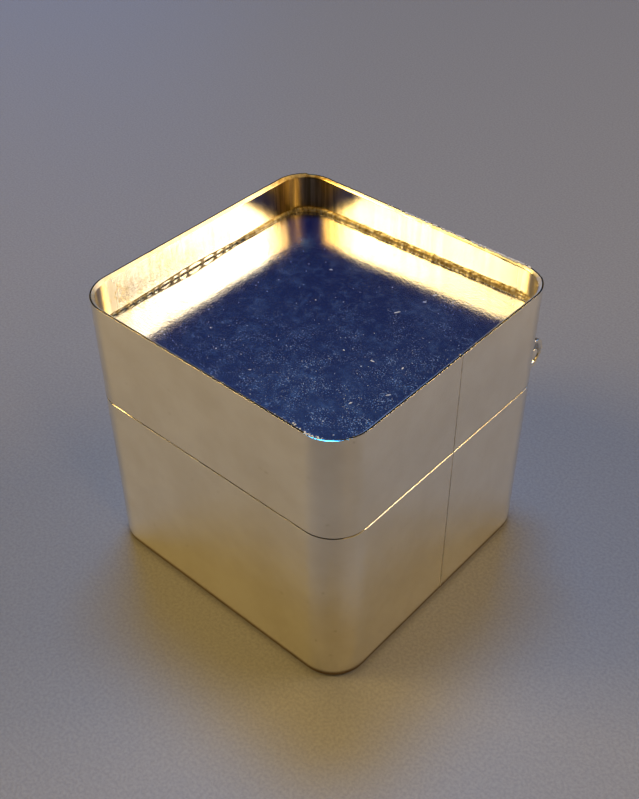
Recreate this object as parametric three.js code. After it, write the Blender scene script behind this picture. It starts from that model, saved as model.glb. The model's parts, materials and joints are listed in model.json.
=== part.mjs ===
// A cake of rosin in a small two-part metal box. The upper half is a hinged lid whose sunken
// top is the tray that the rosin was poured into; the lower half is an open compartment.
// Millimetres, +Z up. The origin is the middle of the underside, +X is the side with the
// butt seam, -Y is the opening front and the hinge runs along +Y.

import * as THREE from 'three';

// ---- driving dimensions -------------------------------------------------------------
const WIDTH = 40;               // along X
const DEPTH = 39;               // along Y
const HEIGHT = 38.6;            // underside to rim
const CORNER_RADIUS = 4.7;      // outside of the upright corners
const SHEET = 0.55;             // metal sheet of walls
const PLATE = 0.6;              // base plate under the walls
const PLATE_CHAMFER = 0.2;      // broken lower edge of the base plate
const PARTING_HEIGHT = 24.4;    // middle of the gap between base and lid
const PARTING_GAP = 0.16;
const EDGE_BREAK = 0.12;        // tiny chamfer on cut edges of the walls
const SEAM_Y = 0.7;             // where the bent strips butt together on the +X side
const SEAM_WIDTH = 0.16;

const LINER_SHEET = 0.45;       // inner strip that the lid closes over
const LINER_BELOW = 8;          // its length under and over the parting line
const LINER_ABOVE = 1.8;
const LINER_SEAM_WIDTH = 0.16;

const TRAY_FLOOR_TOP = 27.5;
const TRAY_SHEET = 0.5;
const ROSIN_TOP = 33.85;        // at the middle; the cake set a little out of level
const ROSIN_TILT = 0.033;       // rise of its surface for each millimetre towards +X
const BEAD_HEIGHT = 0.8;        // amber bead where the rosin meets the walls
const BEAD_WIDTH = 0.8;
const BEAD_SHOULDER = 0.85;     // its section bulges through these shares of width and height
const BEAD_SHALLOW = 0.38;
const FLOOR_FILLET = 0.7;       // solder fillet inside the base
const TRAY_FILLET = 0.6;        // solder fillet under the tray floor

const BARREL_RADIUS = 2.1;
const BARREL_OFFSET = 2.25;     // hinge axis from the outer face of the wall
const BARREL_HALF_LENGTH = 17;
const KNUCKLE_COUNT = 5;
const KNUCKLE_GAP = 0.12;
const PIN_RADIUS = 0.8;
const PIN_CLEARANCE = 0.05;
const PIN_STANDOUT = 0.15;
const GROOVE_RADIUS = 2.3;      // hollow of the bearers, and the knuckles' solder seats
const BEARER_THICKNESS = 0.8;
const BEARER_HALF_LENGTH = 14.6;
const STOP_HALF_ANGLE = 53.5;   // the bearers' end faces meet after twice this angle
const SEAT_FROM = 60;           // knuckles are soldered to their bearer between these
const SEAT_TO = 150;            // angles, counted from the axis straight backwards
const BACK_TO = 120;            // the bearer's rounded back reaches this angle

const CORNER_STEPS = 8;         // facets in each quarter-round corner
const CIRCLE_STEPS = 48;
const BACK_STEPS = 2;           // the bearer's back takes every second of those steps

const FLOOR_TOP = PLATE;
const BASE_RIM = PARTING_HEIGHT - PARTING_GAP / 2;
const LID_EDGE = PARTING_HEIGHT + PARTING_GAP / 2;
const WALL_FACE = DEPTH / 2;
const AXIS_Y = WALL_FACE + BARREL_OFFSET;

// ---- materials ----------------------------------------------------------------------
const metal = (color, roughness) => new THREE.MeshStandardMaterial({ color, roughness, metalness: 1 });
const silver = metal(0xd9d0c0, 0.25);
const innerSilver = metal(0xcfc6b4, 0.4);
const solder = metal(0xb9b4a6, 0.45);
const rosin = new THREE.MeshStandardMaterial({ color: 0x1e274e, roughness: 0.15, metalness: 0 });
const amber = new THREE.MeshStandardMaterial({ color: 0x9a6a1c, roughness: 0.3, metalness: 0 });

// ---- shape helpers ------------------------------------------------------------------

// The box outline seen from above, moved inwards by inset, counter-clockwise. With a gap it
// starts and ends beside the butt seam on the +X side; without one it closes on itself.
function outline(inset, gap = 0) {
  const halfX = WIDTH / 2 - inset;
  const halfY = DEPTH / 2 - inset;
  const radius = CORNER_RADIUS - inset;
  const corners = [[1, 1], [-1, 1], [-1, -1], [1, -1]];
  const points = [];
  corners.forEach(([sideX, sideY], quarter) => {
    for (let step = 0; step <= CORNER_STEPS; step += 1) {
      const angle = (quarter + step / CORNER_STEPS) * Math.PI / 2;
      points.push(new THREE.Vector2(
        sideX * (halfX - radius) + radius * Math.cos(angle),
        sideY * (halfY - radius) + radius * Math.sin(angle),
      ));
    }
  });
  if (gap > 0) {
    points.unshift(new THREE.Vector2(halfX, SEAM_Y + gap / 2));
    points.push(new THREE.Vector2(halfX, SEAM_Y - gap / 2));
  }
  return points;
}

function closedSolid(positions, triangles) {
  const geometry = new THREE.BufferGeometry();
  geometry.setAttribute('position', new THREE.Float32BufferAttribute(positions, 3));
  geometry.setIndex(triangles);
  const faceted = geometry.toNonIndexed();
  faceted.computeVertexNormals();
  return faceted;
}

// A strip that follows the outline. The profile is a counter-clockwise list of [inset, z]
// seen with the outside of the box to the left, so that inset grows to the right.
function strip(profile, gap = 0) {
  const loops = profile.map(([inset]) => outline(inset, gap));
  const stations = loops[0].length;
  const sides = profile.length;
  const positions = [];
  for (let station = 0; station < stations; station += 1) {
    profile.forEach(([, z], side) => {
      const point = loops[side][station];
      positions.push(point.x, point.y, z);
    });
  }
  const triangles = [];
  const lastSpan = gap > 0 ? stations - 1 : stations;
  for (let station = 0; station < lastSpan; station += 1) {
    const here = station * sides;
    const next = ((station + 1) % stations) * sides;
    for (let side = 0; side < sides; side += 1) {
      const after = (side + 1) % sides;
      triangles.push(here + side, next + after, next + side);
      triangles.push(here + side, here + after, next + after);
    }
  }
  if (gap > 0) {
    const flat = profile.map(([inset, z]) => new THREE.Vector2(inset, z));
    const end = (stations - 1) * sides;
    THREE.ShapeUtils.triangulateShape(flat, []).forEach(([a, b, c]) => {
      triangles.push(a, c, b);
      triangles.push(end + a, end + b, end + c);
    });
  }
  return closedSolid(positions, triangles);
}

// A plate that fills the outline, from a list of [inset, z] levels, lowest first.
function plate(levels) {
  const loops = levels.map(([inset]) => outline(inset));
  const count = loops[0].length;
  const positions = levels.flatMap(([, z], level) => loops[level].flatMap((p) => [p.x, p.y, z]));
  const triangles = [];
  for (let level = 0; level + 1 < levels.length; level += 1) {
    for (let i = 0; i < count; i += 1) {
      const low = level * count + i;
      const lowNext = level * count + ((i + 1) % count);
      triangles.push(low, lowNext, lowNext + count);
      triangles.push(low, lowNext + count, low + count);
    }
  }
  const top = (levels.length - 1) * count;
  THREE.ShapeUtils.triangulateShape(loops[0], []).forEach(([a, b, c]) => {
    triangles.push(c, b, a);
  });
  THREE.ShapeUtils.triangulateShape(loops[levels.length - 1], []).forEach(([a, b, c]) => {
    triangles.push(top + a, top + b, top + c);
  });
  return closedSolid(positions, triangles);
}

// Wall section between two heights, with its four cut corners lightly broken.
function wallProfile(low, high, outer, inner, edge) {
  return [
    [outer, low + edge], [outer + edge, low], [inner - edge, low], [inner, low + edge],
    [inner, high - edge], [inner - edge, high], [outer + edge, high], [outer, high - edge],
  ];
}

// A section in the hinge's own plane, x backwards from the axis and y upwards, drawn out
// along the hinge from one X to another.
function alongHinge(section, from, to) {
  const geometry = new THREE.ExtrudeGeometry(section, { depth: to - from, bevelEnabled: false });
  geometry.translate(0, 0, from);
  geometry.applyMatrix4(new THREE.Matrix4().makeBasis(
    new THREE.Vector3(0, 1, 0),
    new THREE.Vector3(0, 0, 1),
    new THREE.Vector3(1, 0, 0),
  ));
  return geometry;
}

function onCircle(radius, degrees) {
  const angle = THREE.MathUtils.degToRad(degrees);
  return new THREE.Vector2(radius * Math.cos(angle), radius * Math.sin(angle));
}

function circlePath(radius) {
  const points = [];
  for (let step = 0; step < CIRCLE_STEPS; step += 1) {
    points.push(onCircle(radius, step * 360 / CIRCLE_STEPS));
  }
  return points;
}

// ---- pieces -------------------------------------------------------------------------

const group = new THREE.Group();

function add(name, geometry, material) {
  const mesh = new THREE.Mesh(geometry, material);
  mesh.name = name;
  group.add(mesh);
  return mesh;
}

// Solder in a butt joint on the +X side, between two insets and two heights.
function seamBar(outer, inner, low, high, width) {
  const bar = new THREE.BoxGeometry(inner - outer, width, high - low);
  bar.translate(WIDTH / 2 - (outer + inner) / 2, SEAM_Y, (low + high) / 2);
  return bar;
}

// Slopes everything above a height up towards +X, as the rosin set.
function tilted(geometry, above) {
  const points = geometry.attributes.position;
  for (let i = 0; i < points.count; i += 1) {
    if (points.getZ(i) > above) {
      points.setZ(i, points.getZ(i) + ROSIN_TILT * points.getX(i));
    }
  }
  geometry.computeVertexNormals();
  return geometry;
}

function makeBase() {
  add('base_plate', plate([
    [PLATE_CHAMFER, 0], [0, PLATE_CHAMFER], [0, FLOOR_TOP],
  ]), silver);

  add('base_wall', strip(wallProfile(FLOOR_TOP, BASE_RIM, 0, SHEET, EDGE_BREAK), SEAM_WIDTH), silver);
  add('base_wall_seam', seamBar(0, SHEET, FLOOR_TOP + EDGE_BREAK, BASE_RIM - EDGE_BREAK,
    SEAM_WIDTH), solder);

  add('base_floor_fillet', strip([
    [SHEET, FLOOR_TOP], [SHEET + FLOOR_FILLET, FLOOR_TOP], [SHEET, FLOOR_TOP + FLOOR_FILLET],
  ]), solder);
}

function makeLiner() {
  const low = PARTING_HEIGHT - LINER_BELOW;
  const high = PARTING_HEIGHT + LINER_ABOVE;
  const outer = SHEET;
  const inner = SHEET + LINER_SHEET;
  add('liner', strip(wallProfile(low, high, outer, inner, EDGE_BREAK), LINER_SEAM_WIDTH), innerSilver);
  add('liner_seam', seamBar(outer, inner, low + EDGE_BREAK, high - EDGE_BREAK,
    LINER_SEAM_WIDTH), solder);
}

function makeLid() {
  add('lid_wall', strip(wallProfile(LID_EDGE, HEIGHT, 0, SHEET, EDGE_BREAK), SEAM_WIDTH), silver);
  add('lid_wall_seam', seamBar(0, SHEET, LID_EDGE + EDGE_BREAK, HEIGHT - EDGE_BREAK,
    SEAM_WIDTH), solder);

  const floorUnderside = TRAY_FLOOR_TOP - TRAY_SHEET;
  add('tray_floor', plate([[SHEET, floorUnderside], [SHEET, TRAY_FLOOR_TOP]]), innerSilver);
  add('tray_floor_fillet', strip([
    [SHEET, floorUnderside - TRAY_FILLET], [SHEET + TRAY_FILLET, floorUnderside],
    [SHEET, floorUnderside],
  ]), solder);

  const cake = plate([[SHEET, TRAY_FLOOR_TOP], [SHEET, ROSIN_TOP]]);
  add('rosin_cake', tilted(cake, (TRAY_FLOOR_TOP + ROSIN_TOP) / 2), rosin);
  const bead = strip([
    [SHEET, ROSIN_TOP], [SHEET + BEAD_WIDTH, ROSIN_TOP],
    [SHEET + BEAD_SHOULDER * BEAD_WIDTH, ROSIN_TOP + BEAD_SHALLOW * BEAD_HEIGHT],
    [SHEET + BEAD_SHALLOW * BEAD_WIDTH, ROSIN_TOP + BEAD_SHOULDER * BEAD_HEIGHT],
    [SHEET, ROSIN_TOP + BEAD_HEIGHT],
  ]);
  add('rosin_edge_bead', tilted(bead, TRAY_FLOOR_TOP), amber);
}

// A trough soldered along the wall that cradles the barrel: under it on the base (side -1)
// and over it on the lid (side +1). Its end faces are the lid's open stop.
function bearerSection(side) {
  const step = 360 / CIRCLE_STEPS;
  const wall = -BARREL_OFFSET;
  const outerRadius = GROOVE_RADIUS + BEARER_THICKNESS;
  const points = [onCircle(GROOVE_RADIUS, STOP_HALF_ANGLE)];
  for (let angle = SEAT_FROM; angle <= SEAT_TO; angle += step) {
    points.push(onCircle(GROOVE_RADIUS, angle));
  }
  points.push(new THREE.Vector2(wall, GROOVE_RADIUS * Math.sin(THREE.MathUtils.degToRad(SEAT_TO))));
  points.push(new THREE.Vector2(wall, outerRadius + BEARER_THICKNESS));
  for (let angle = BACK_TO; angle > STOP_HALF_ANGLE; angle -= BACK_STEPS * step) {
    points.push(onCircle(outerRadius, angle));
  }
  points.push(onCircle(outerRadius, STOP_HALF_ANGLE));
  const placed = points.map((p) => new THREE.Vector2(p.x, side * p.y));
  return new THREE.Shape(placed);
}

// A length of tube round the pin. Where it is soldered into its bearer's hollow it fills
// the clearance that the rest of the barrel keeps.
function knuckleSection(side) {
  const step = 360 / CIRCLE_STEPS;
  const points = [];
  for (let index = 0; index < CIRCLE_STEPS; index += 1) {
    const angle = -180 + index * step;
    const seated = side * angle >= SEAT_FROM && side * angle <= SEAT_TO;
    points.push(onCircle(seated ? GROOVE_RADIUS : BARREL_RADIUS, angle));
  }
  const section = new THREE.Shape(points);
  section.holes.push(new THREE.Path(circlePath(PIN_RADIUS + PIN_CLEARANCE).reverse()));
  return section;
}

function makeHinge() {
  const pitch = 2 * BARREL_HALF_LENGTH / KNUCKLE_COUNT;
  const halves = [['base', -1], ['lid', 1]];
  const pieces = halves.map(([half, side]) => add(`${half}_hinge_bearer`,
    alongHinge(bearerSection(side), -BEARER_HALF_LENGTH, BEARER_HALF_LENGTH), silver));

  const made = { base: 0, lid: 0 };
  for (let index = 0; index < KNUCKLE_COUNT; index += 1) {
    const [half, side] = halves[index % 2];
    made[half] += 1;
    const from = -BARREL_HALF_LENGTH + index * pitch + (index > 0 ? KNUCKLE_GAP / 2 : 0);
    const isLast = index === KNUCKLE_COUNT - 1;
    const to = -BARREL_HALF_LENGTH + (index + 1) * pitch - (isLast ? 0 : KNUCKLE_GAP / 2);
    pieces.push(add(`${half}_knuckle_${made[half]}`,
      alongHinge(knuckleSection(side), from, to), silver));
  }

  const pinHalf = BARREL_HALF_LENGTH + PIN_STANDOUT;
  pieces.push(add('hinge_pin',
    alongHinge(new THREE.Shape(circlePath(PIN_RADIUS)), -pinHalf, pinHalf), silver));
  pieces.forEach((piece) => piece.position.set(0, AXIS_Y, PARTING_HEIGHT));
}

makeBase();
makeLiner();
makeLid();
makeHinge();

export default group;
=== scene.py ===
import json
import math
import random

import bmesh
import bpy
from mathutils import Matrix, Vector, noise


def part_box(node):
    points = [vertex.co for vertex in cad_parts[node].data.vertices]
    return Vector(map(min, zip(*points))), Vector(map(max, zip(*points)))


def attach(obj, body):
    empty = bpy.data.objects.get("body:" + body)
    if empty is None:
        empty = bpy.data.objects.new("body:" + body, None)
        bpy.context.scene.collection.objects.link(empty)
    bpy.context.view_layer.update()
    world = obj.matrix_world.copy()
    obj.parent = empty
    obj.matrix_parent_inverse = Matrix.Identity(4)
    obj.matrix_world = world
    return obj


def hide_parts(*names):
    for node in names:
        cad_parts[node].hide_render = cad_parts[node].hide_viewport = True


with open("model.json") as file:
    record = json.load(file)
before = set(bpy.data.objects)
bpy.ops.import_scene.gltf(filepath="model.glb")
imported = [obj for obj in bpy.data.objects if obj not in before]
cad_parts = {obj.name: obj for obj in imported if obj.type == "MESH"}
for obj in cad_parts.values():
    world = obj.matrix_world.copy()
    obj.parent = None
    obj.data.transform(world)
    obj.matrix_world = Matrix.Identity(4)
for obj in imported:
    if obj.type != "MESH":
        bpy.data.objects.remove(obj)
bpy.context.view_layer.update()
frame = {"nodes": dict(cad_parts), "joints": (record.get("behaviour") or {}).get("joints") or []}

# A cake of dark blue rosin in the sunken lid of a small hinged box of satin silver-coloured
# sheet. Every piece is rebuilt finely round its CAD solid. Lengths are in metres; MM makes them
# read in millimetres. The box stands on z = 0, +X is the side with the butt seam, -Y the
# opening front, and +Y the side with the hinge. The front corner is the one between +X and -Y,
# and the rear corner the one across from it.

MM = 0.001
TINY = 0.001 * MM           # places closer together than this count as one
RANDOM = random.Random(7)   # one seeded sequence for everything that is scattered

# ---- sizes read from the frame ------------------------------------------------------

LID_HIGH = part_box("lid_wall")[1]
CAKE_LOW, CAKE_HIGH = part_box("rosin_cake")
SEAM_LOW, SEAM_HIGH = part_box("lid_wall_seam")
BARREL_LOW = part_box("lid_knuckle_1")[0]
PIN_LOW, PIN_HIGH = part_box("hinge_pin")
HALF_X, HALF_Y = LID_HIGH.x, LID_HIGH.y
SHEET = HALF_X - CAKE_HIGH.x
SEAM_Y = (SEAM_LOW.y + SEAM_HIGH.y) / 2
SEAM_WIDTH = SEAM_HIGH.y - SEAM_LOW.y
AXIS = Vector(frame["joints"][0]["pos_m"])
WALL_POINTS = [v.co for v in frame["nodes"]["lid_wall"].data.vertices]
CORNER = HALF_Y - max(abs(co.y) for co in WALL_POINTS if co.x > HALF_X - TINY)
CAKE_POINTS = [v.co for v in frame["nodes"]["rosin_cake"].data.vertices]
CAKE_LOW_EDGE = max(co.z for co in CAKE_POINTS if co.x < TINY - CAKE_HIGH.x)
CAKE_TILT = (CAKE_HIGH.z - CAKE_LOW_EDGE) / (2 * CAKE_HIGH.x)
BARREL_RADIUS = AXIS.z - BARREL_LOW.z
PIN_RADIUS = (PIN_HIGH.z - PIN_LOW.z) / 2

# ---- finish of the pieces -----------------------------------------------------------

GRID = 0.7 * MM             # spacing of points along walls
RIM_CLEAR = 0.4 * MM        # the evenly spaced points of a wall keep this far from its edges
CORNER_STEPS = 20           # fewest steps round an upright corner
EDGE = 0.03 * MM            # rounding of a cut sheet edge
WAVE = 0.02 * MM            # how far a hand-made wall wanders from flat
RIM_BEVEL = 0.36 * MM       # the lid's rim is filed at 45 degrees on its inner side
FOOT_ROUND = 0.4 * MM       # turned-under edge of the base plate
PLATE_INSET = 0.04 * MM     # how far the edge of the base plate lies inside the wall
SEAM_ROUND = 0.015 * MM     # rounding of a strip's cut ends beside the butt seam
SEAM_PITS = [(26.6 * MM, 0.2 * MM), (25.6 * MM, 0.15 * MM), (18.2 * MM, 0.17 * MM)]
PIT_DEPTH = 0.12 * MM       # of each pit in SEAM_PITS, given there by its height and radius
MENISCUS = 0.05 * MM        # how far the rosin was drawn up at the walls
ROSIN_WAVE = 0.012 * MM     # how far its surface wanders from flat
BEAD_STEP = 0.1 * MM        # spacing of sections along the bead
BEAD_SIDES = 14             # steps across the bead's open face
BEAD_ROOM = 0.035 * MM      # between the wall and the edge of the bead's open face
BEAD_ROOT = 0.15 * MM       # how deep the bead reaches into the rosin
BEAD_SUNK = 0.1 * MM        # how deep its back lies in the wall
CELL_REACH = 2 * MM         # bubbles and grains further off along the bead are passed over


# ---- mesh helpers -------------------------------------------------------------------

def link_mesh(name, vertices, faces, material_of_face=None):
    """A smooth-shaded mesh object with outward faces."""
    mesh = bpy.data.meshes.new(name)
    mesh.from_pydata([tuple(v) for v in vertices], [], faces)
    if material_of_face:
        mesh.polygons.foreach_set("material_index", material_of_face)
    work = bmesh.new()
    work.from_mesh(mesh)
    bmesh.ops.recalc_face_normals(work, faces=work.faces)
    work.to_mesh(mesh)
    work.free()
    mesh.polygons.foreach_set("use_smooth", [True] * len(mesh.polygons))
    mesh.update()
    piece = bpy.data.objects.new(name, mesh)
    bpy.context.scene.collection.objects.link(piece)
    return piece


def apply_modifier(piece, kind, **settings):
    """Adds a modifier with these settings and applies it to the mesh."""
    modifier = piece.modifiers.new(kind.lower(), kind)
    for name, value in settings.items():
        setattr(modifier, name, value)
    bpy.context.view_layer.objects.active = piece
    bpy.ops.object.modifier_apply(modifier=modifier.name)


def keep_faces_flat(piece):
    """Shades broad faces as flat and leaves the turn to the small faces at their edges."""
    mesh = piece.data
    normals = [Vector() for _ in mesh.vertices]
    for face in mesh.polygons:
        for index in face.vertices:
            normals[index] += face.normal * face.area
    mesh.normals_split_custom_set_from_vertices([normal.normalized() for normal in normals])


def finish_piece(piece, body, slot_name, materials, *nodes):
    """Materials, body and the CAD nodes that a piece stands for. slot_name is not used."""
    for material in materials:
        piece.data.materials.append(material)
    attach(piece, body)
    if nodes:
        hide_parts(*nodes)
    return piece


def loft(name, sections, closed, slots_of_side=None):
    """A skin over sections of points: joined end to end when closed, else capped.
    slots_of_side are the material slots of the strips that start at a section's points."""
    sides, count = len(sections[0]), len(sections)
    faces, slots = [], []
    for i in range(count if closed else count - 1):
        here, there = i * sides, (i + 1) % count * sides
        for side in range(sides):
            after = (side + 1) % sides
            faces.append((here + side, here + after, there + after, there + side))
            slots.append(slots_of_side[side] if slots_of_side else 0)
    if not closed:
        end = (count - 1) * sides
        faces.append(tuple(range(sides)))
        faces.append(tuple(end + side for side in reversed(range(sides))))
        slots += [0, 0]
    return link_mesh(name, [point for section in sections for point in section], faces, slots)


def stations(spacing, gap=0.0, seam_steps=(0.0,)):
    """Points round the outside of the box and their outward normals, counter-clockwise from
    the butt seam. With a gap the run is open; seam_steps are distances from its two ends."""
    core_x, core_y = HALF_X - CORNER, HALF_Y - CORNER
    corner_steps = max(CORNER_STEPS, round(CORNER * math.pi / 2 / spacing))
    found = []

    def straight(start, end, normal):
        steps = max(1, round((end - start).length / spacing))
        found.extend((start.lerp(end, i / steps), normal) for i in range(steps))

    def corner(centre, quarter):
        for i in range(corner_steps):
            angle = (quarter + i / corner_steps) * math.pi / 2
            normal = Vector((math.cos(angle), math.sin(angle)))
            found.append((centre + normal * CORNER, normal))

    right, back, left, front = Vector((1, 0)), Vector((0, 1)), Vector((-1, 0)), Vector((0, -1))
    first = Vector((HALF_X, SEAM_Y + gap / 2))
    last = Vector((HALF_X, SEAM_Y - gap / 2))
    found.extend((first + back * step, right) for step in seam_steps[:-1])
    straight(first + back * seam_steps[-1], Vector((HALF_X, core_y)), right)
    corner(Vector((core_x, core_y)), 0)
    straight(Vector((core_x, HALF_Y)), Vector((-core_x, HALF_Y)), back)
    corner(Vector((-core_x, core_y)), 1)
    straight(Vector((-HALF_X, core_y)), Vector((-HALF_X, -core_y)), left)
    corner(Vector((-core_x, -core_y)), 2)
    straight(Vector((-core_x, -HALF_Y)), Vector((core_x, -HALF_Y)), front)
    corner(Vector((core_x, -core_y)), 3)
    straight(Vector((HALF_X, -core_y)), last + front * seam_steps[-1], right)
    if gap:
        found.extend((last + front * step, right) for step in reversed(seam_steps))
    return found


def inset_point(point, normal, inset, height):
    """The place at a height that lies an inset inside a station of the outline."""
    return (point.x - normal.x * inset, point.y - normal.y * inset, height)


def even_levels(low, high, spacing):
    """Values from low to high in even steps of about a spacing."""
    count = max(2, round((high - low) / spacing))
    return [low + (high - low) * i / count for i in range(count + 1)]


def quarter_turn(steps):
    """Angles from 0 to a quarter turn in even steps."""
    return [math.pi / 2 * i / steps for i in range(steps + 1)]


def wall_section(low, high, outer, inner, rounds, levels, bevel=0.0):
    """Wall section of (inset, height) points: outer foot, inner foot, up the inside, inner
    rim, outer rim and down the outside. rounds are the radii of those four edges. A bevel takes
    the place of the inner rim's rounding, with points crowded at its ends to keep them crisp."""
    corners = ((outer, low, 1, 1, 2), (inner, low, -1, 1, 3), (inner, high, -1, -1, 0),
               (outer, high, 1, -1, 1))
    arcs = []
    for (inset, height, inwards, upwards, quarter), radius in zip(corners, rounds):
        turns = [a + quarter * math.pi / 2 for a in quarter_turn(4)]
        arcs.append([(inset + radius * (inwards + math.cos(a)),
                      height + radius * (upwards + math.sin(a))) for a in turns])
    if bevel:
        arcs[2] = [(inner - bevel * share, high - bevel * (1 - share))
                   for share in (0.0, 0.04, 0.5, 0.96, 1.0)]
    inside = [(inner, z) for z in levels]
    outside = [(outer, z) for z in reversed(levels)]
    return arcs[0] + arcs[1] + inside + arcs[2] + arcs[3] + outside


def filled(name, run, levels, height_at=None, loops=28):
    """A plate that fills the outline of a run of stations. Its edge goes up through a list of
    (inset, height) levels, both broad faces are gridded inwards in shrinking loops, and
    height_at(x, y) shapes the upper one."""
    count = len(run)
    vertices, faces = [], []
    for inset, height in levels:
        vertices += [inset_point(point, normal, inset, height) for point, normal in run]
    if height_at:
        vertices[-count:] = [(x, y, height_at(x, y)) for x, y, _ in vertices[-count:]]
    for level in range(len(levels) - 1):
        for i in range(count):
            j = (i + 1) % count
            low, high = level * count, (level + 1) * count
            faces.append((low + i, low + j, high + j, high + i))

    def close(level, lift):
        """Fills one broad face from its edge to the middle."""
        edge = vertices[level * count:(level + 1) * count]
        previous = [level * count + i for i in range(count)]
        for loop in range(1, loops):
            share = 1 - loop / loops
            row = list(range(len(vertices), len(vertices) + count))
            for x, y, z in edge:
                x, y = x * share, y * share
                vertices.append((x, y, lift(x, y) if lift else z))
            for i in range(count):
                j = (i + 1) % count
                faces.append((previous[i], previous[j], row[j], row[i]))
            previous = row
        centre = len(vertices)
        vertices.append((0.0, 0.0, lift(0.0, 0.0) if lift else edge[0][2]))
        for i in range(count):
            faces.append((previous[i], previous[(i + 1) % count], centre))

    close(0, None)
    close(len(levels) - 1, height_at)
    return link_mesh(name, vertices, faces)


def smooth_noise(x, y, z, scale, seed=0.0):
    """Noise from -1 to 1 whose features are about scale across."""
    return noise.noise(Vector((x / scale + seed, y / scale - seed, z / scale + 2 * seed)))


def fade(low, high, value):
    """0 below low, 1 above high, and a smooth step between them."""
    share = max(0.0, min(1.0, (value - low) / (high - low)))
    return share * share * (3 - 2 * share)


# ---- materials ----------------------------------------------------------------------

class Shader:
    """A material with short calls for the nodes that the finishes need."""

    def __init__(self, name):
        self.material = bpy.data.materials.new(name)
        self.material.use_nodes = True
        self.nodes = self.material.node_tree.nodes
        self.links = self.material.node_tree.links
        self.surface = self.nodes["Principled BSDF"]
        self.place = self.nodes.new("ShaderNodeTexCoord").outputs["Object"]

    def put(self, value, socket):
        """Links an output to a socket, or sets a plain value on it."""
        if isinstance(value, bpy.types.NodeSocket):
            self.links.new(value, socket)
        else:
            socket.default_value = value

    def set(self, **values):
        """Values or outputs for the surface's sockets, named with _ for a space."""
        for name, value in values.items():
            self.put(value, self.surface.inputs[name.replace("_", " ")])

    def stretched(self, x, y, z, turn=0.0):
        """Coordinates scaled along each axis after a turn about +Z in degrees."""
        turned = self.nodes.new("ShaderNodeMapping")
        self.put(self.place, turned.inputs["Vector"])
        turned.inputs["Rotation"].default_value = (0, 0, math.radians(turn))
        scaled = self.nodes.new("ShaderNodeMapping")
        self.put(turned.outputs["Vector"], scaled.inputs["Vector"])
        scaled.inputs["Scale"].default_value = (x, y, z)
        return scaled.outputs["Vector"]

    def noise(self, scale, detail=3.0, rough=0.5, vector=None):
        node = self.nodes.new("ShaderNodeTexNoise")
        self.put(vector or self.place, node.inputs["Vector"])
        node.inputs["Scale"].default_value = scale
        node.inputs["Detail"].default_value = detail
        node.inputs["Roughness"].default_value = rough
        return node.outputs["Fac"]

    def cells(self, scale):
        """Distance from the middle of rounded cells."""
        node = self.nodes.new("ShaderNodeTexVoronoi")
        self.put(self.place, node.inputs["Vector"])
        node.inputs["Scale"].default_value = scale
        return node.outputs["Distance"]

    def along(self, x, y, z):
        """Position measured along a direction, in metres."""
        node = self.nodes.new("ShaderNodeVectorMath")
        node.operation = "DOT_PRODUCT"
        self.put(self.place, node.inputs[0])
        node.inputs[1].default_value = (x, y, z)
        return node.outputs["Value"]

    def spread(self, value, low, high, to_low=0.0, to_high=1.0):
        """Maps a range smoothly on to another and holds its ends."""
        node = self.nodes.new("ShaderNodeMapRange")
        node.interpolation_type = "SMOOTHSTEP"
        self.put(value, node.inputs["Value"])
        for name, bound in (("From Min", low), ("From Max", high),
                            ("To Min", to_low), ("To Max", to_high)):
            node.inputs[name].default_value = bound
        return node.outputs["Result"]

    def math(self, operation, a, b=0.0):
        node = self.nodes.new("ShaderNodeMath")
        node.operation = operation
        self.put(a, node.inputs[0])
        self.put(b, node.inputs[1])
        return node.outputs["Value"]

    def times(self, a, b):
        return self.math("MULTIPLY", a, b)

    def plus(self, first, *others):
        for other in others:
            first = self.math("ADD", first, other)
        return first

    def away(self, value, middle=0.0):
        """Distance of a value from a middle one."""
        return self.math("ABSOLUTE", self.math("SUBTRACT", value, middle))

    def mix(self, factor, a, b):
        """Colour a where the factor is 0 and b where it is 1."""
        node = self.nodes.new("ShaderNodeMix")
        node.data_type = "RGBA"
        self.put(factor, node.inputs["Factor"])
        for value, socket in ((a, node.inputs["A"]), (b, node.inputs["B"])):
            self.put((*value, 1.0) if isinstance(value, tuple) else value, socket)
        return node.outputs["Result"]

    def bump(self, height, distance, strength=1.0, below=None):
        """Normals of a relief whose heights from 0 to 1 span a distance, laid over others."""
        node = self.nodes.new("ShaderNodeBump")
        self.put(height, node.inputs["Height"])
        node.inputs["Distance"].default_value = distance
        node.inputs["Strength"].default_value = strength
        if below:
            self.put(below, node.inputs["Normal"])
        return node.outputs["Normal"]

    def attribute(self, name):
        """A value stored at the mesh's points."""
        node = self.nodes.new("ShaderNodeAttribute")
        node.attribute_name = name
        return node.outputs["Fac"]


def make_outer_metal():
    """Satin silver-coloured sheet: faint brushing along the walls, clouded gloss, a few dark
    specks, a polished rim, and a painted brown contact shadow along the foot."""
    s = Shader("outer_metal")
    cloud = s.noise(150, 4, 0.62)
    brush = s.noise(1.0, 2, 0.5, s.stretched(60, 60, 420))
    specks = s.spread(s.noise(1300, 2, 0.5), 0.71, 0.76)
    tint = s.mix(s.spread(cloud, 0.3, 0.7), (0.84, 0.79, 0.68), (0.93, 0.89, 0.79))
    tint = s.mix(s.times(specks, 0.35), tint, (0.50, 0.44, 0.34))
    # painted shade: a brown contact shadow over the lowest 0.6 to 1.2 mm of the sheet
    foot = s.spread(s.along(0, 0, 1), 0.6 * MM, 1.2 * MM, 1.0, 0.0)
    tint = s.mix(s.times(foot, 0.9), tint, (0.19, 0.10, 0.025))
    polished = s.spread(s.along(0, 0, 1), LID_HIGH.z - 0.4 * MM, LID_HIGH.z - 0.1 * MM)
    rough = s.plus(s.times(cloud, 0.06), s.times(brush, 0.02), s.spread(polished, 0, 1, 0.19, 0.06))
    s.set(Base_Color=tint, Metallic=1.0, Roughness=rough)
    return s.material


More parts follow.
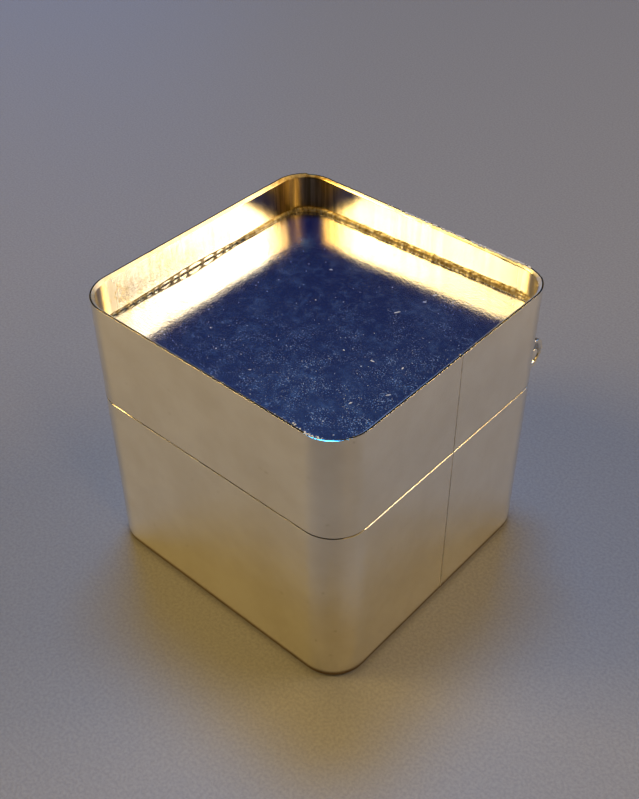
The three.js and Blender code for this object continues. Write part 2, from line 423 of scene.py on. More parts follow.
def make_tray_metal():
    """Inside of the tray walls: bright with upright rub marks, creased a little on the -X wall
    with a painted darker gold shade along the creases, a painted brown shade in the rear corner,
    duller in the corners to its left and right, and filed rough along the rim."""
    s = Shader("tray_metal")
    rubbed = s.noise(1.0, 4, 0.6, s.stretched(1500, 1500, 60))
    crinkle = s.noise(1.0, 4, 0.6, s.stretched(520, 520, 230))
    # painted shade: darker gold along the crease lines inside the creased patch
    crease_shade = s.spread(s.away(crinkle, 0.5), 0.0, 0.035, 1.0, 0.0)
    creased = s.times(s.spread(s.along(-1, 0, 0), 18.6 * MM, 19.3 * MM),
                      s.spread(s.along(0, -1, 0), -4 * MM, 9 * MM))
    creased = s.times(creased, s.spread(s.noise(170, 2, 0.5), 0.40, 0.6))
    rear = s.spread(s.along(-0.7, 0.7, 0), 20 * MM, 24.5 * MM)
    bends = s.spread(s.away(s.along(0.7, 0.7, 0)), 21.5 * MM, 24.5 * MM)
    bevel = s.spread(s.along(0, 0, 1), LID_HIGH.z - 0.39 * MM, LID_HIGH.z - 0.34 * MM)
    tint = s.mix(s.spread(rubbed, 0.3, 0.7), (0.93, 0.86, 0.66), (0.98, 0.94, 0.82))
    tint = s.mix(s.times(s.times(creased, crease_shade), 0.75), tint, (0.86, 0.66, 0.26))
    # painted shade: the rear inside corner is darkened to brown
    rear_shade = s.mix(s.spread(rubbed, 0.35, 0.65), (0.40, 0.26, 0.07), (0.80, 0.60, 0.25))
    tint = s.mix(rear, tint, rear_shade)
    rough = s.plus(s.times(rubbed, 0.08), 0.11, s.times(creased, 0.03), s.times(rear, 0.16),
                   s.times(bends, 0.14), s.times(bevel, 0.22))
    normal = s.bump(rubbed, 0.0012 * MM, 0.5)
    normal = s.bump(s.times(creased, crinkle), 0.02 * MM, 0.5, normal)
    s.set(Base_Color=tint, Metallic=1.0, Roughness=rough, Normal=normal)
    return s.material


def make_inner_metal():
    """Liner and tray floor: duller sheet with streaks from fitting."""
    s = Shader("inner_metal")
    cloud = s.noise(220, 4, 0.6)
    streak = s.noise(1.0, 4, 0.6, s.stretched(260, 260, 3000))
    tint = s.mix(s.spread(cloud, 0.3, 0.7), (0.70, 0.64, 0.53), (0.84, 0.79, 0.68))
    rough = s.plus(s.times(streak, 0.2), 0.26)
    normal = s.bump(streak, 0.01 * MM, 0.5)
    s.set(Base_Color=tint, Metallic=1.0, Roughness=rough, Normal=normal)
    return s.material


def make_hinge_metal():
    """Barrel, pin and bearers: drawn metal with a tighter polish and turned marks."""
    s = Shader("hinge_metal")
    cloud = s.noise(300, 3, 0.6)
    turned = s.noise(1.0, 3, 0.6, s.stretched(4200, 240, 240))
    tint = s.mix(s.spread(cloud, 0.3, 0.7), (0.78, 0.72, 0.61), (0.89, 0.84, 0.74))
    rough = s.plus(s.times(turned, 0.14), 0.18)
    normal = s.bump(turned, 0.006 * MM, 0.5)
    s.set(Base_Color=tint, Metallic=1.0, Roughness=rough, Normal=normal)
    return s.material


def make_solder():
    """Grey solder, a little frosted and pitted, with darker flux left in the hollows."""
    s = Shader("solder")
    cloud = s.noise(900, 4, 0.6)
    tint = s.mix(s.spread(cloud, 0.35, 0.65), (0.46, 0.42, 0.34), (0.74, 0.69, 0.60))
    rough = s.plus(s.times(cloud, 0.35), 0.2)
    normal = s.bump(cloud, 0.02 * MM, 0.5)
    s.set(Base_Color=tint, Metallic=0.9, Roughness=rough, Normal=normal)
    return s.material


def make_rosin():
    """Dark blue cast rosin: glossy but finely combed, with clouds and rings of bloom, a painted
    glare towards the front corner, faint strokes, and fine pale specks crowding towards the front
    corner."""
    s = Shader("rosin")
    front = s.spread(s.along(0.7, -0.7, 0), -14 * MM, 20 * MM)
    cloud = s.spread(s.noise(190, 5, 0.62), 0.46, 0.72)
    mottle = s.spread(s.noise(760, 4, 0.66), 0.46, 0.72)
    ring = s.spread(s.away(s.cells(620), 0.42), 0.0, 0.12, 1.0, 0.0)
    ring = s.times(ring, s.spread(s.noise(330, 2, 0.5), 0.52, 0.66))
    strokes = s.spread(s.noise(1.0, 2, 0.5, s.stretched(900, 5200, 900, -42)), 0.6, 0.76)
    specks = s.spread(s.noise(6400, 2, 0.6), 0.59, 0.66)
    crowd = s.times(s.spread(s.noise(420, 3, 0.6), 0.32, 0.72), front)
    specks = s.times(specks, s.plus(s.times(crowd, 0.9), 0.08))
    # painted glare: the front term lightens the rosin towards the front corner; cloud, mottle and
    # rings are bloom
    bloom_and_glare = s.plus(s.times(cloud, 0.22), s.times(mottle, 0.40), s.times(ring, 0.38),
                  s.times(front, 0.22))
    deep = s.mix(bloom_and_glare, (0.003, 0.022, 0.170), (0.055, 0.110, 0.340))
    marked = s.mix(s.times(strokes, 0.22), deep, (0.10, 0.15, 0.34))
    tint = s.mix(specks, marked, (0.60, 0.70, 0.90))
    rough = s.plus(s.times(bloom_and_glare, 0.10), s.times(specks, 0.2), 0.15)
    comb = s.noise(1.0, 3, 0.6, s.stretched(1500, 4600, 1500, 12))
    normal = s.bump(comb, 0.010 * MM, 1.0)
    normal = s.bump(s.noise(2800, 2, 0.5), 0.011 * MM, 1.0, normal)
    s.set(Base_Color=tint, Metallic=0.0, Roughness=rough, Normal=normal, IOR=3.0)
    s.surface.inputs["Specular IOR Level"].default_value = 0.85
    return s.material


def make_amber():
    """Amber film: clear bubbles that the bright wall shows through, in a grainy brown web."""
    s = Shader("amber_bead")
    cell = s.attribute("cell")
    shade = s.attribute("shade")
    grain = s.noise(3800, 3, 0.6)
    web = s.mix(s.spread(grain, 0.3, 0.7), (0.26, 0.17, 0.045), (0.60, 0.45, 0.18))
    clear = s.mix(shade, (0.98, 0.92, 0.70), (0.74, 0.56, 0.24))
    tint = s.mix(cell, web, clear)
    hollow = s.times(cell, s.spread(shade, 0.0, 0.05, 0.97, 0.0))
    rough = s.plus(s.times(grain, 0.2), 0.12)
    normal = s.bump(grain, 0.012 * MM, 0.5)
    s.set(Base_Color=tint, Metallic=s.times(cell, 0.3), Roughness=rough, Normal=normal,
          Alpha=s.math("SUBTRACT", 1.0, hollow), IOR=1.6)
    return s.material


def make_dust():
    """Rosin powder and bits of bow hair, from pale blue to white."""
    s = Shader("dust")
    tint = s.mix(s.spread(s.noise(900, 1, 0.5), 0.4, 0.6), (0.70, 0.78, 0.92), (0.95, 0.96, 0.98))
    s.set(Base_Color=tint, Roughness=0.5)
    return s.material


def make_burr_glint():
    """Filings coloured near white as painted glints, which scatter more light than they mirror."""
    s = Shader("burr_painted_glint")
    tint = s.mix(s.spread(s.noise(2500, 1, 0.5), 0.4, 0.6), (0.90, 0.95, 0.98), (0.98, 0.99, 1.0))
    s.set(Base_Color=tint, Metallic=0.1, Roughness=0.3)
    return s.material


OUTER = make_outer_metal()
TRAY = make_tray_metal()
INNER = make_inner_metal()
HINGE = make_hinge_metal()
SOLDER = make_solder()
ROSIN = make_rosin()
AMBER = make_amber()
DUST = make_dust()
BURR_GLINT = make_burr_glint()


# ---- walls, liner and plates --------------------------------------------------------

def seam_round(point):
    """How far the cut ends of a bent strip are rounded off beside the butt seam."""
    away = abs(point.y - SEAM_Y) - SEAM_WIDTH / 2
    if point.x < HALF_X - TINY or away >= SEAM_ROUND:
        return 0.0
    return SEAM_ROUND - math.sqrt(max(0.0, SEAM_ROUND ** 2 - (SEAM_ROUND - away) ** 2))


def pit_depth(point, height):
    """Small pits left in the joint where the solder drew back."""
    if point.x < HALF_X - TINY:
        return 0.0
    depth = 0.0
    for pit_height, radius in SEAM_PITS:
        distance = math.hypot(point.y - SEAM_Y, height - pit_height)
        depth = max(depth, PIT_DEPTH * max(0.0, 1 - (distance / radius) ** 2))
    return depth


def parting_wear(point):
    """Radius of the base wall's outer rim: worn along the seam side, most of all by the front
    corner, and at one spot of the front face."""
    seam_side = fade(HALF_X - 1.2 * MM, HALF_X, point.x)
    along = 0.13 - 0.10 * fade(-14 * MM, 13 * MM, point.y)
    spot = 0.13 * math.exp(-((point.x + 14.3 * MM) / (1.5 * MM)) ** 2) * fade(0, 1 * MM, -point.y)
    return EDGE / 3 + MM * (seam_side * along + spot)


def filed_rim(point, inset):
    """How far the rim was filed away: unevenly, more and rougher by the hinge, and with an
    outward slope where the front corner was pressed."""
    lost = 0.03 + 0.02 * smooth_noise(point.x, point.y, 0, 2.5 * MM, 9.0)
    if point.y > HALF_Y - 1.0 * MM:
        lost += 0.15 + 0.05 * smooth_noise(point.x, point.y, 0, 0.5 * MM, 3.0)
    pressed = Vector((HALF_X - 2.4 * MM, -HALF_Y + 0.6 * MM))
    slope = 0.17 * (1 - fade(1.0 * MM, 2.8 * MM, (point - pressed).length))
    return max(0.0, lost) * MM + slope * (SHEET - inset)


def build_wall(name, node, outer, inner, body, slot_name, materials, rounds, rim=None, bevel=0.0):
    """A bent strip between two insets from the outside of the box, as high as its CAD node.
    rounds(point) gives the radii of its four edges, and rim(point, inset) what is filed off its
    rim. A second material covers the inside and the bevel."""
    low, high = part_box(node)
    run = stations(GRID, SEAM_WIDTH, (0.0, 0.008 * MM, 0.018 * MM, 0.03 * MM, 0.2 * MM))
    lowest, highest = low.z + RIM_CLEAR, high.z - RIM_CLEAR
    levels = even_levels(lowest, highest, GRID)
    for pit_height, radius in SEAM_PITS:
        levels += [pit_height + radius * share / 3 for share in range(-3, 4)]
    levels = sorted(z for z in levels if lowest <= z <= highest)
    middle = (outer + inner) / 2

    def section_at(point):
        return wall_section(low.z, high.z, outer, inner, rounds(point), levels, bevel)

    sections = []
    for point, normal in run:
        section = []
        for inset, height in section_at(point):
            wander = WAVE * (1 + smooth_noise(point.x, point.y, height, 11 * MM)) / 2
            wander += 0.1 * WAVE * (1 + smooth_noise(point.x, point.y, height, 3 * MM, 4.0)) / 2
            if inset < middle:
                wander += seam_round(point) + pit_depth(point, height)
            lost = rim(point, inset) if rim and height > highest else 0.0
            section.append(inset_point(point, normal, inset + wander, height - lost))
        sections.append(section)
    border = inner - bevel if bevel else middle
    inside = [1 if inset > border + TINY else 0 for inset, _ in section_at(run[0][0])]
    wall = loft(name, sections, False, inside if len(materials) > 1 else None)
    keep_faces_flat(wall)
    return finish_piece(wall, body, slot_name, materials, node)


def build_seam(name, node, inset, thickness, body, hollow_at):
    """Solder in a butt joint: a thin bar, a little hollow and uneven on its outer face and
    hardly sunk on the inside. hollow_at(height) is how far it drew back."""
    low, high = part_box(node)
    half = SEAM_WIDTH / 2
    sections = []
    for height in even_levels(low.z, high.z, 0.12 * MM):
        hollow = hollow_at(height) * (1 + 0.6 * smooth_noise(0, 0, height, 0.7 * MM, inset * 900))
        hollow += pit_depth(Vector((HALF_X, SEAM_Y)), height)
        outside = HALF_X - inset - hollow
        inside = HALF_X - inset - thickness + 0.03 * MM
        sections.append([(outside, SEAM_Y - half, height), (outside - hollow / 3, SEAM_Y, height),
                         (outside, SEAM_Y + half, height), (inside, SEAM_Y + half, height),
                         (inside, SEAM_Y - half, height)])
    return finish_piece(loft(name, sections, False), body, "solder", [SOLDER], node)


def build_box_shell():
    """Both walls, the liner, and the solder in their butt joints."""
    liner_inner = HALF_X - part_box("liner_seam")[0].x
    build_wall("base_wall_sheet", "base_wall", 0.0, SHEET, "base", "outer_metal", [OUTER],
               lambda point: (EDGE / 3, EDGE, EDGE, parting_wear(point)))
    build_wall("lid_wall_sheet", "lid_wall", 0.0, SHEET, "lid", "outer_metal", [OUTER, TRAY],
               lambda point: (EDGE, EDGE, EDGE, EDGE / 2), filed_rim, RIM_BEVEL)
    build_wall("liner_sheet", "liner", SHEET, liner_inner, "base", "inner_metal", [INNER],
               lambda point: (EDGE, EDGE, EDGE, EDGE))
    build_seam("base_wall_solder", "base_wall_seam", 0.0, SHEET, "base",
               lambda height: 0.014 * MM * fade(9 * MM, 21 * MM, height))
    build_seam("lid_wall_solder", "lid_wall_seam", 0.0, SHEET, "lid",
               lambda height: 0.018 * MM)
    build_seam("liner_solder", "liner_seam", SHEET, liner_inner - SHEET, "base",
               lambda height: 0.03 * MM)


def build_plates():
    """The base plate, rounded under and with a fine lip below the wall, and the tray floor."""
    run = stations(GRID)
    low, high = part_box("base_plate")
    edge = [(FOOT_ROUND * (1 - math.sin(a)) + PLATE_INSET, low.z + FOOT_ROUND * (1 - math.cos(a)))
            for a in quarter_turn(6)]
    edge += [(PLATE_INSET, high.z - EDGE * 2 / 3), (PLATE_INSET + EDGE, high.z)]
    plate = filled("base_plate_sheet", run, edge)
    keep_faces_flat(plate)
    finish_piece(plate, "base", "outer_metal", [OUTER], "base_plate")

    low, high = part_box("tray_floor")
    edge = [(SHEET + 2 * EDGE, low.z), (SHEET, low.z + 2 * EDGE), (SHEET, high.z)]
    floor = filled("tray_floor_sheet", run, edge)
    keep_faces_flat(floor)
    finish_piece(floor, "lid", "inner_metal", [INNER], "tray_floor")


def build_fillet(name, node, body, plate_face, upward):
    """A hollow-faced, lumpy run of solder in the corner between a plate and the wall."""
    low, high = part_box(node)
    size = high.z - low.z
    face = [(size * (1 - math.sin(a)), size * (1 - math.cos(a))) for a in quarter_turn(7)]
    sections = []
    for point, normal in stations(0.5 * MM):
        section = [inset_point(point, normal, SHEET, plate_face)]
        for across, rise in face:
            lump = 0.16 * size * abs(smooth_noise(point.x, point.y, rise, 1.6 * MM, 6.0))
            across = max(0.0, across - lump) if across > 0.02 * MM else across
            section.append(inset_point(point, normal, SHEET + across, plate_face + upward * rise))
        sections.append(section)
    finish_piece(loft(name, sections, True), body, "solder", [SOLDER], node)


# ---- rosin --------------------------------------------------------------------------

def cake_level(x):
    """Height of the CAD cake's sloping top."""
    return CAKE_HIGH.z + CAKE_TILT * (x - CAKE_HIGH.x)


def rosin_surface(x, y):
    """Height of the cast rosin: a little wavy, drawn up slightly at the walls, and nowhere
    above the CAD cake."""
    edge = max(0.0, min(CAKE_HIGH.x - abs(x), CAKE_HIGH.y - abs(y)))
    lift = MENISCUS * math.exp(-edge / (0.8 * MM))
    wave = ROSIN_WAVE * smooth_noise(x, y, 0, 7 * MM, 1.5)
    return cake_level(x) + lift - MENISCUS + wave - ROSIN_WAVE


def build_cake():
    """The rosin, cast against the tray's floor and walls."""
    edge = [(SHEET, CAKE_LOW.z), (SHEET, CAKE_HIGH.z)]
    cake = filled("rosin_cast", stations(0.6 * MM), edge, rosin_surface, 70)
    keep_faces_flat(cake)
    finish_piece(cake, "lid", "rosin", [ROSIN], "rosin_cake")


def bead_form(point, normal):
    """Height and width of the bead at a station, and how clear its bubbles are: a thin clear
    chain on the -X wall that swells in the middle, brown grains everywhere else."""
    uneven = 0.08 * smooth_noise(point.x, point.y, 0, 1.1 * MM, 2.0)
    if normal.x < -0.9:
        swell = math.exp(-((point.y + 2 * MM) / (5.5 * MM)) ** 2)
        clear = 1 - fade(5 * MM, 10 * MM, point.y)
        width = 0.06 + 0.25 * (1 - clear)
        return (0.40 + 0.34 * swell + uneven * 0.4) * MM, width * MM, clear
    return (0.58 + uneven) * MM, (0.36 + uneven) * MM, 0.0


def bead_cells(length, form_at):
    """Bubbles and grains along the bead as (distance, place across it, half length, half
    width, shade). Places and half widths are shares of the way from 0 at the top of the bead to
    1 at the rosin."""
    cells = []
    distance = 0.0
    while distance < length:
        height, _, clear = form_at(distance)
        if RANDOM.random() < clear:
            half = height * RANDOM.uniform(0.8, 2.0)
            cells.append((distance + half, 1.0, half, RANDOM.uniform(0.55, 0.78), 0.0))
            distance += 2 * half + 0.04 * MM
            continue
        for _ in range(2):
            half = RANDOM.uniform(0.10, 0.30) * MM
            place = RANDOM.random()
            shade = RANDOM.random() ** 0.6
            start = distance + RANDOM.uniform(0, 0.3) * MM
            cells.append((start, place, half, half / height, shade))
        distance += 0.42 * MM
    return cells


def cell_at(near, distance, across, height):
    """The bubble or grain that a place on the bead lies deepest in: how deep, its shade, and
    how high its dome stands there."""
    depth, shade, dome = -1.0, 0.5, 0.0
    for start, place, half, half_across, own in near:
        size = math.hypot((distance - start) / half, (across - place) / half_across)
        within = (1 - size) * min(half, half_across * height)
        if within > depth:
            depth, shade, dome = within, own, math.sqrt(max(0.0, 1 - size * size))
    return depth, shade, dome


def build_bead():
    """The bead round the edge of the rosin, with its bubbles and grains stored as two values at
    its points: how far inside one a point lies, and that one's shade."""
    run = stations(BEAD_STEP)
    distances = [0.0]
    for (point, _), (after, _) in zip(run, run[1:]):
        distances.append(distances[-1] + (after - point).length)

    def form_at(distance):
        index = min(len(run) - 1, int(distance / distances[-1] * (len(run) - 1)))
        return bead_form(*run[index])

    cells = bead_cells(distances[-1], form_at)
    nearness, shades, sections = [], [], []
    first = 0
    for (point, normal), distance in zip(run, distances):
        height, width, _ = bead_form(point, normal)
        while first < len(cells) - 1 and cells[first][0] < distance - CELL_REACH:
            first += 1
        near = []
        for cell in cells[first:]:
            if cell[0] > distance + CELL_REACH:
                break
            near.append(cell)
        foot = inset_point(point, normal, SHEET, 0)
        level = rosin_surface(foot[0], foot[1])
        section = [inset_point(point, normal, SHEET - BEAD_SUNK, level + rise)
                   for rise in (-BEAD_ROOT, height)]
        nearness += [0.0, 0.0]
        shades += [0.5, 0.5]
        for side in range(BEAD_SIDES + 1):
            across = side / BEAD_SIDES
            turn = math.pi / 2 * across
            depth, shade, dome = cell_at(near, distance, across, height)
            swell = 1 + 0.12 * dome * math.sin(2 * turn)
            inset = SHEET + BEAD_ROOM + width * math.sin(turn) * swell
            rise = height * math.cos(turn) * swell
            section.append(inset_point(point, normal, inset, level + rise))
            nearness.append(fade(0.01 * MM, 0.08 * MM, depth))
            shades.append(shade)
        section.append(inset_point(point, normal, inset, level - BEAD_ROOT))
        nearness.append(0.0)
        shades.append(0.5)
        sections.append(section)
    bead = loft("rosin_edge", sections, True)
    for name, values in (("cell", nearness), ("shade", shades)):
        bead.data.attributes.new(name, "FLOAT", "POINT").data.foreach_set("value", values)
    finish_piece(bead, "lid", "amber_bead", [AMBER], "rosin_edge_bead")


# ---- dust and burrs -----------------------------------------------------------------

def scatter(name, grains, body, slot_name, material):
    """Tiny faceted grains from (centre, (length, width, height), turn about +Z) in one mesh."""
    work = bmesh.new()
    for centre, size, turn in grains:
        place = Matrix.Translation(centre) @ Matrix.Rotation(turn, 4, "Z")
        place = place @ Matrix.Diagonal((*size, 1.0))
        bmesh.ops.create_icosphere(work, subdivisions=1, radius=0.5, matrix=place)
    mesh = bpy.data.meshes.new(name)
    work.to_mesh(mesh)
    work.free()
    piece = bpy.data.objects.new(name, mesh)
    bpy.context.scene.collection.objects.link(piece)
    return finish_piece(piece, body, slot_name, [material])


# x, y and length in millimetres, and turn in degrees, of the largest flecks
FLECKS = [(6.3, 7.0, 0.9, 60), (15.1, -5.6, 0.7, 55), (10.0, -2.1, 0.6, 10), (13.4, -1.0, 0.5, 100),
          (12.8, -9.2, 0.5, 70), (-5.8, 9.0, 0.5, 30), (7.6, 12.6, 0.6, 60), (7.5, 10.7, 0.5, 35)]
FLECK_WIDTH = 0.16 * MM
DUST_TRIES = 650            # places tried all over the rosin; under half of them get a grain
WALL_GLINT_GRAINS = 70            # in a row along the wall on the hinge side
# the rim filings are coloured near white as painted glints
HINGE_BURRS, FRONT_BURRS, CORNER_GLINT_BURRS = 140, 14, 36    # filings left on the lid's rim


def build_dust():
    """Flecks of bow hair and rosin powder, thickest towards the front corner, and pale grains
    along the wall on the hinge side as painted glints."""
    grains = []

    def lay(x, y, length, width, turn):
        centre = Vector((x, y, rosin_surface(x, y) + width * 0.15))
        grains.append((centre, (length, width, width * 0.5), turn))

    for x, y, length, turn in FLECKS:
        lay(x * MM, y * MM, length * MM, FLECK_WIDTH, math.radians(turn))
    reach_x, reach_y = 0.9 * CAKE_HIGH.x, 0.9 * CAKE_HIGH.y
    for _ in range(DUST_TRIES):
        x = RANDOM.uniform(-1, 1) * reach_x
        y = RANDOM.uniform(-1, 1) * reach_y
        frontness = (x / reach_x - y / reach_y + 2) / 4
        size = RANDOM.uniform(0.045, 0.09 if RANDOM.random() < 0.93 else 0.16) * MM
        turn = RANDOM.uniform(0, math.pi)
        if RANDOM.random() < 0.15 + frontness ** 2:
            lay(x, y, size * RANDOM.uniform(1, 2), size, turn)
    # painted glints: pale grains in a row where the rosin meets the wall on the hinge side
    for _ in range(WALL_GLINT_GRAINS):
        x = RANDOM.triangular(-14, 17.5, 15) * MM
        y = HALF_Y - SHEET - RANDOM.uniform(0.42, 0.62) * MM
        size = RANDOM.uniform(0.06, 0.2) * MM
        lay(x, y, size * 1.4, size, RANDOM.uniform(0, math.pi))
    scatter("rosin_dust_and_glints", grains, "lid", "rosin", DUST)


def build_burrs():
    """Filings left on the rim, coloured near white as painted glints: many on the hinge side, where
    it was filed lowest, and a few along the front, crowded on the pressed front corner to whiten
    its glint."""
    grains = []

    def leave(x, y, size, sunk):
        centre = Vector((x, y, LID_HIGH.z - sunk - 0.52 * size))
        grains.append((centre, (size * RANDOM.uniform(1, 1.8), size, size),
                       RANDOM.uniform(0, math.pi)))

    for _ in range(HINGE_BURRS):
        size = RANDOM.uniform(0.13, 0.34) * MM
        leave(RANDOM.triangular(-9, 17, 14) * MM, HALF_Y - RANDOM.uniform(0.16, 0.24) * MM, size,
              RANDOM.uniform(0.0, 0.04) * MM)
    for _ in range(FRONT_BURRS):
        size = RANDOM.uniform(0.10, 0.20) * MM
        leave(RANDOM.uniform(-8, 14) * MM, RANDOM.uniform(0.1, 0.3) * MM - HALF_Y, size, 0.0)
    # painted glint: white grains crowded on the front corner's rim whiten the glint there
    for _ in range(CORNER_GLINT_BURRS):
        angle = math.radians(RANDOM.uniform(-112, -62))
        radius = CORNER - RANDOM.uniform(0.10, 0.35) * MM
        x = HALF_X - CORNER + radius * math.cos(angle)
        y = CORNER - HALF_Y + radius * math.sin(angle)
        leave(x, y, RANDOM.uniform(0.08, 0.18) * MM, 0.0)
    scatter("rim_burrs_painted_glint", grains, "lid", "outer_metal", BURR_GLINT)


# ---- hinge --------------------------------------------------------------------------

# Angles are in degrees from straight backwards, up for the lid's pieces and down for the base's.
STOP_ANGLE = 53.5           # the bearers' end faces, which meet at the lid's stop
SEAT_FROM, SEAT_TO = 60, 150    # solder seats the knuckles in their bearer between these
SEAT_FADE = 14              # how far past them it thins out
BACK_TO = 120               # where a bearer's outer face leaves the round for the wall
BEARER_SHEET = 0.8 * MM
PIN_ROOM = 0.05 * MM        # between the pin and its bore
SEAT_ROOM = 0.2 * MM        # between the barrel and the bearers' hollow
BARREL_STEPS, PIN_STEPS = 96, 48    # round the hinge axis


def hinge_point(radius, degrees, x):
    """A point round the hinge axis; 0 degrees is straight backwards and 90 straight up."""
    angle = math.radians(degrees)
    return (x, AXIS.y + radius * math.cos(angle), AXIS.z + radius * math.sin(angle))


def build_knuckle(node, body, side):
    """A length of tube with softened ends, its bore, and the solder that seats it."""
    low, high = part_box(node)
    soft = 0.16 * MM
    ends = [(soft * (1 - math.cos(a)), soft * (1 - math.sin(a))) for a in quarter_turn(5)]
    outline = [(low.x + along, lost) for along, lost in ends]
    outline += [(x, 0.0) for x in even_levels(low.x + 2 * soft, high.x - 2 * soft, 0.8 * MM)]
    outline += [(high.x - along, lost) for along, lost in reversed(ends)]
    sections = []
    for step in range(BARREL_STEPS):
        degrees = -180 + 360 * step / BARREL_STEPS
        upright = side * degrees
        away = max(0.0, SEAT_FROM - upright, upright - SEAT_TO)
        outside = BARREL_RADIUS + SEAT_ROOM * (1 - fade(0, SEAT_FADE, away))
        section = [hinge_point(outside - lost, degrees, x) for x, lost in outline]
        section += [hinge_point(PIN_RADIUS + PIN_ROOM, degrees, x) for x in (high.x, low.x)]
        sections.append(section)
    knuckle = loft(node + "_tube", sections, True)
    keep_faces_flat(knuckle)
    finish_piece(knuckle, body, "hinge_metal", [HINGE], node)


def build_bearer(node, body, side):
    """The trough that cradles the barrel, run out to the wall, with softened edges."""
    low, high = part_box(node)
    groove = BARREL_RADIUS + SEAT_ROOM
    outer = groove + BEARER_SHEET
    outline = [hinge_point(groove, angle, 0) for angle in even_levels(STOP_ANGLE, SEAT_TO, 4)]
    outline.append((0, HALF_Y, AXIS.z + groove * math.sin(math.radians(SEAT_TO))))
    outline.append((0, HALF_Y, AXIS.z + outer + BEARER_SHEET))
    outline += [hinge_point(outer, angle, 0)
                for angle in reversed(even_levels(STOP_ANGLE, BACK_TO, 4))]
    sections = []
    for x in even_levels(low.x, high.x, 1.5 * MM):
        sections.append([(x, y, AXIS.z + side * (z - AXIS.z)) for _, y, z in outline])
    bearer = loft(node + "_trough", sections, False)
    apply_modifier(bearer, "BEVEL", width=0.1 * MM, segments=3, limit_method="ANGLE",
                   angle_limit=math.radians(35))
    keep_faces_flat(bearer)
    finish_piece(bearer, body, "hinge_metal", [HINGE], node)


def build_pin():
    """The hinge wire with peened, slightly domed ends."""
    head, head_radius = 0.15 * MM, PIN_RADIUS * 1.04
    dome = [(PIN_HIGH.x - head * 0.85 * (1 - math.cos(a)), head_radius * math.sin(a))
            for a in quarter_turn(6)[1:]]
    half = dome + [(PIN_HIGH.x - head, head_radius), (PIN_HIGH.x - head, PIN_RADIUS)]
    profile = half + [(-x, radius) for x, radius in reversed(half)]
    sections = []
    for x, radius in profile:
        sections.append([hinge_point(radius, 360 * step / PIN_STEPS, x)
                         for step in range(PIN_STEPS)])
    pin = loft("hinge_wire", sections, False)
    finish_piece(pin, "base", "hinge_metal", [HINGE], "hinge_pin")


def build_hinge():
    """Three knuckles and a bearer on the base, two and a bearer on the lid, and the pin."""
    for half, side, count in (("base", -1, 3), ("lid", 1, 2)):
        for number in range(1, count + 1):
            build_knuckle(f"{half}_knuckle_{number}", half, side)
        build_bearer(f"{half}_hinge_bearer", half, side)
    build_pin()


# ---- stage, light and camera --------------------------------------------------------

def build_floor():
    """A wide sheet of pale, faintly fibrous paper."""
    s = Shader("floor_paper")
    fibre = s.noise(2700, 4, 0.6)
    cloud = s.noise(9, 3, 0.5)
    tint = s.mix(s.spread(fibre, 0.3, 0.7), (0.275, 0.27, 0.28), (0.355, 0.35, 0.36))
    tint = s.mix(s.times(cloud, 0.2), tint, (0.29, 0.29, 0.31))
    s.set(Base_Color=tint, Roughness=0.5, Normal=s.bump(fibre, 0.06 * MM, 0.6))
    s.surface.inputs["Specular IOR Level"].default_value = 0.8
    half = 3.0
    mesh = bpy.data.meshes.new("floor")
    mesh.from_pydata([(-half, -half, 0), (half, -half, 0), (half, half, 0), (-half, half, 0)],
                     [], [(0, 1, 2, 3)])
    floor = bpy.data.objects.new("floor", mesh)
    floor.data.materials.append(s.material)
    bpy.context.scene.collection.objects.link(floor)


def direction(azimuth, elevation):
    """Unit vector from the object by angles in degrees, the azimuth counted from the front
    (-Y) towards +X."""
    a, e = math.radians(azimuth), math.radians(elevation)
    return Vector((math.sin(a) * math.cos(e), -math.cos(a) * math.cos(e), math.sin(e)))


def softbox(name, azimuth, elevation, distance, size, watts, color):
    """A rectangular lamp that faces the middle of the foot, placed by angles in degrees."""
    lamp = bpy.data.lights.new(name, "AREA")
    lamp.shape = "RECTANGLE"
    lamp.size, lamp.size_y = size
    lamp.energy = watts
    lamp.color = color
    holder = bpy.data.objects.new(name, lamp)
    towards = direction(azimuth, elevation)
    holder.location = towards * distance
    holder.rotation_euler = towards.to_track_quat("Z", "Y").to_euler()
    bpy.context.scene.collection.objects.link(holder)


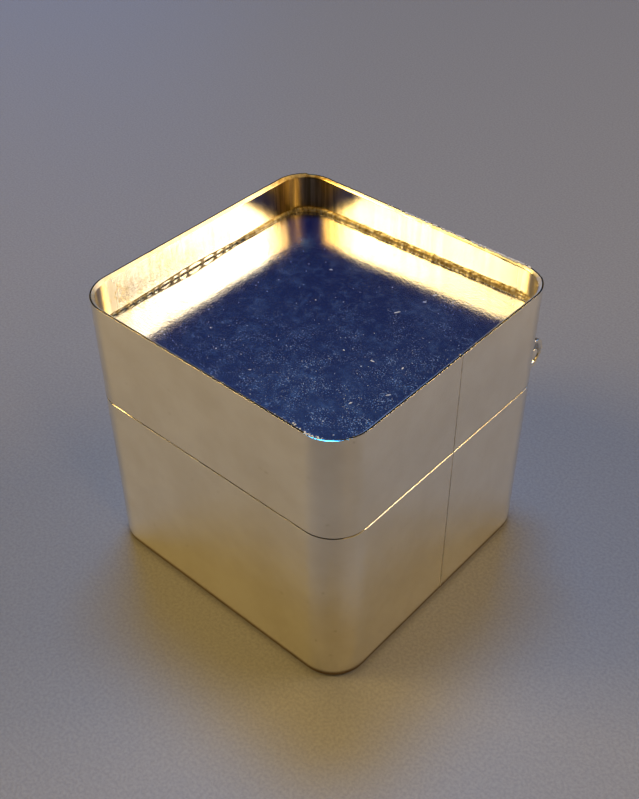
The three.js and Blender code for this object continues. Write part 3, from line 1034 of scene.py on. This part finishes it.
def build_light():
    """Warm light from both sides, which fills the tray's far walls, and blue light from behind,
    which leaves a golden shadow in front."""
    warm = (1.0, 0.66, 0.18)
    world = bpy.data.worlds.new("studio")
    world.use_nodes = True
    background = world.node_tree.nodes["Background"]
    background.inputs["Color"].default_value = (1.0, 0.66, 0.20, 1.0)
    background.inputs["Strength"].default_value = 0.018
    bpy.context.scene.world = world
    softbox("front_left_low", -36, 33, 0.7, (0.24, 0.10), 0.75, (1.0, 0.77, 0.40))
    softbox("rear_right_low", 131, 33, 0.7, (0.24, 0.10), 0.95, (1.0, 0.83, 0.60))
    softbox("front_left_mid", -52, 40, 0.7, (0.2, 0.14), 1.55, (1.0, 0.67, 0.19))
    softbox("rear_right_mid", 148, 40, 0.7, (0.2, 0.14), 0.85, (1.0, 0.62, 0.12))
    softbox("behind", -138.2, 69, 0.9, (0.3, 0.22), 3.1, (0.03, 0.38, 1.0))
    softbox("above", -138.2, 80, 0.9, (0.5, 0.5), 0.8, warm)
    softbox("right_low", 95, 22, 0.9, (0.5, 0.5), 0.35, warm)
    softbox("right_mid", 76, 41, 0.7, (0.10, 0.12), 0.4, (1.0, 0.66, 0.25))
    softbox("left_low", -95, 22, 0.9, (0.5, 0.5), 0.2, warm)
    softbox("rear_left_low", -120, 15, 0.9, (0.4, 0.4), 0.6, (0.05, 0.30, 1.0))
    softbox("rear_low", 150, 15, 0.9, (0.4, 0.4), 0.75, (0.10, 0.40, 1.0))


def build_camera():
    """A close view down on the front corner, aimed a little above the middle of the box."""
    azimuth, elevation, roll = 41.8, 40.95, math.radians(-0.45)
    distance = 139.1 * MM
    aim_right, aim_up = 0.12 * MM, 1.58 * MM
    back = direction(azimuth, elevation)
    right = Vector((math.cos(math.radians(azimuth)), math.sin(math.radians(azimuth)), 0))
    up = back.cross(right)
    middle = Vector((0, 0, LID_HIGH.z / 2))
    place = middle + back * distance + right * aim_right + up * aim_up
    tilted_right = math.cos(roll) * right + math.sin(roll) * up
    tilted_up = math.cos(roll) * up - math.sin(roll) * right
    lens = bpy.data.cameras.new("camera")
    lens.lens = 49.8
    lens.sensor_width = 36
    lens.clip_start = 0.01
    camera = bpy.data.objects.new("camera", lens)
    turn = Matrix((tilted_right, tilted_up, back)).transposed().to_4x4()
    camera.matrix_world = Matrix.Translation(place) @ turn
    bpy.context.scene.collection.objects.link(camera)
    bpy.context.scene.camera = camera


# ---- everything ---------------------------------------------------------------------

build_camera()
build_box_shell()
build_plates()
build_fillet("base_floor_solder", "base_floor_fillet", "base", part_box("base_plate")[1].z, 1)
build_fillet("tray_floor_solder", "tray_floor_fillet", "lid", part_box("tray_floor")[0].z, -1)
build_cake()
build_bead()
build_dust()
build_burrs()
build_hinge()
build_floor()
build_light()
bpy.context.scene.view_settings.view_transform = "Standard"
